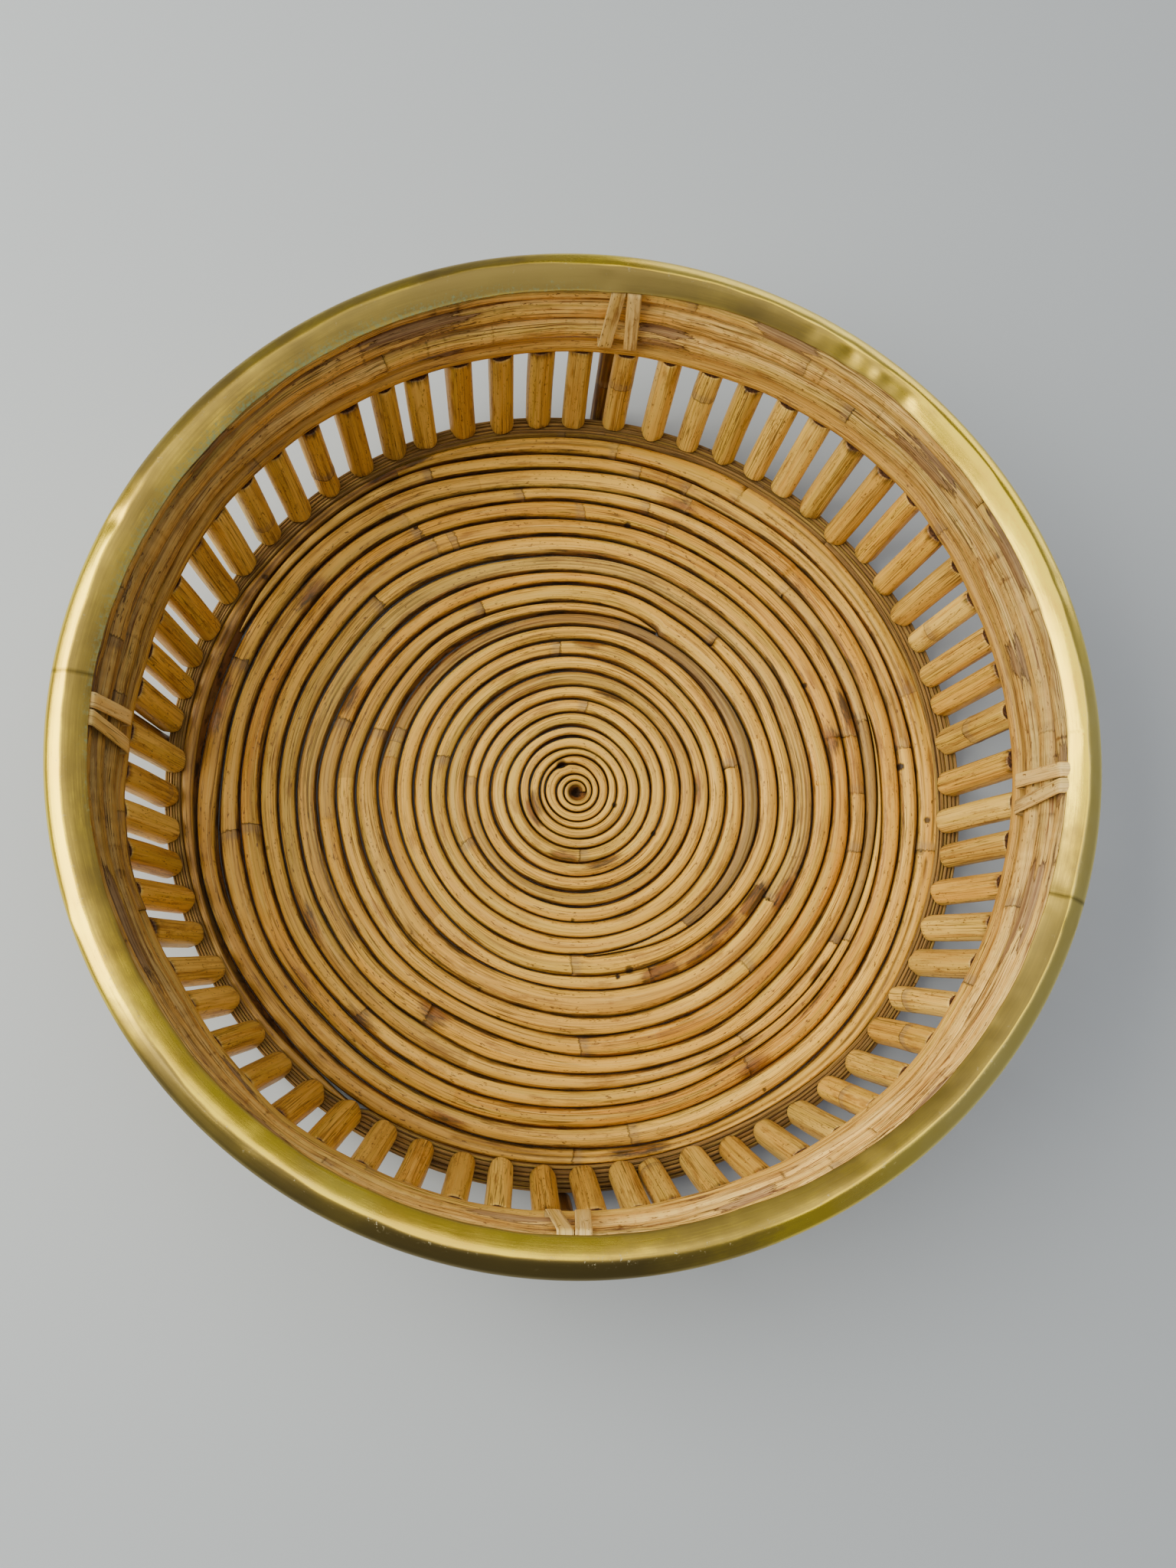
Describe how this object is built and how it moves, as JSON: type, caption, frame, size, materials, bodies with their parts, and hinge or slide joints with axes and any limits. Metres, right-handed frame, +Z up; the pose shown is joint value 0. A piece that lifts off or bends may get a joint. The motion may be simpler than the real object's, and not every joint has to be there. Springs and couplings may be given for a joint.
{
  "type": "round rattan basket",
  "caption": "Low round open basket: a coiled cane floor, leaning cane spindles on a laminated base hoop, and a stacked cane rim under a brass cap.",
  "frame": {"origin": "on the table plane, under the middle of the basket", "axes": "+Z up through the open top; +X to the right and +Y away, as the picture shows the basket"},
  "size_m": [0.3608, 0.3592, 0.1],
  "materials": {
    "brass": "worn polished sheet with brown and olive tarnish",
    "peeled_cane": "peeled fibrous rattan with brown streaks, lightly lacquered",
    "pole_cane": "smooth lacquered cane, orange brown",
    "spindle_cane": "satin lacquered cane, straw to orange, with dark cut ends",
    "coil_cane": "satin lacquered cane with dark nodes and stains",
    "hoop_strip": "thin strips on edge, dark brown, rough",
    "post_cane": "dark brown cane",
    "tie_strip": "pale flat cane strip, green tinted at the brass"
  },
  "bodies": {
    "root": {"brass_rim": "brass", "rim_cane_lower": "peeled_cane", "rim_cane_middle": "peeled_cane", "rim_cane_top": "peeled_cane", "rim_inner_pole": "pole_cane", "cane_tie_right": "tie_strip", "cane_tie_back": "tie_strip", "cane_tie_left": "tie_strip", "cane_tie_front": "tie_strip", "outer_post_back": "post_cane", "outer_post_left": "post_cane", "outer_post_front": "post_cane", "base_hoop": "hoop_strip", "floor_coil": "coil_cane", "spindle_02": "spindle_cane", "spindle_03": "spindle_cane", "spindle_04": "spindle_cane", "spindle_06": "spindle_cane", "spindle_07": "spindle_cane", "spindle_09": "spindle_cane", "spindle_10": "spindle_cane", "spindle_11": "spindle_cane", "spindle_13": "spindle_cane", "spindle_14": "spindle_cane", "spindle_16": "spindle_cane", "spindle_17": "spindle_cane", "spindle_18": "spindle_cane", "spindle_20": "spindle_cane", "spindle_21": "spindle_cane", "spindle_23": "spindle_cane", "spindle_24": "spindle_cane", "spindle_26": "spindle_cane", "spindle_27": "spindle_cane", "spindle_28": "spindle_cane", "spindle_30": "spindle_cane", "spindle_31": "spindle_cane", "spindle_33": "spindle_cane", "spindle_34": "spindle_cane", "spindle_35": "spindle_cane", "spindle_37": "spindle_cane", "spindle_38": "spindle_cane", "spindle_40": "spindle_cane", "spindle_41": "spindle_cane", "spindle_42": "spindle_cane", "spindle_44": "spindle_cane", "spindle_45": "spindle_cane", "spindle_47": "spindle_cane", "spindle_48": "spindle_cane", "spindle_50": "spindle_cane", "spindle_51": "spindle_cane", "spindle_52": "spindle_cane", "spindle_54": "spindle_cane", "spindle_55": "spindle_cane", "spindle_57": "spindle_cane", "spindle_58": "spindle_cane", "spindle_59": "spindle_cane", "spindle_61": "spindle_cane", "spindle_62": "spindle_cane", "spindle_64": "spindle_cane", "spindle_65": "spindle_cane"}
  },
  "joints": []
}
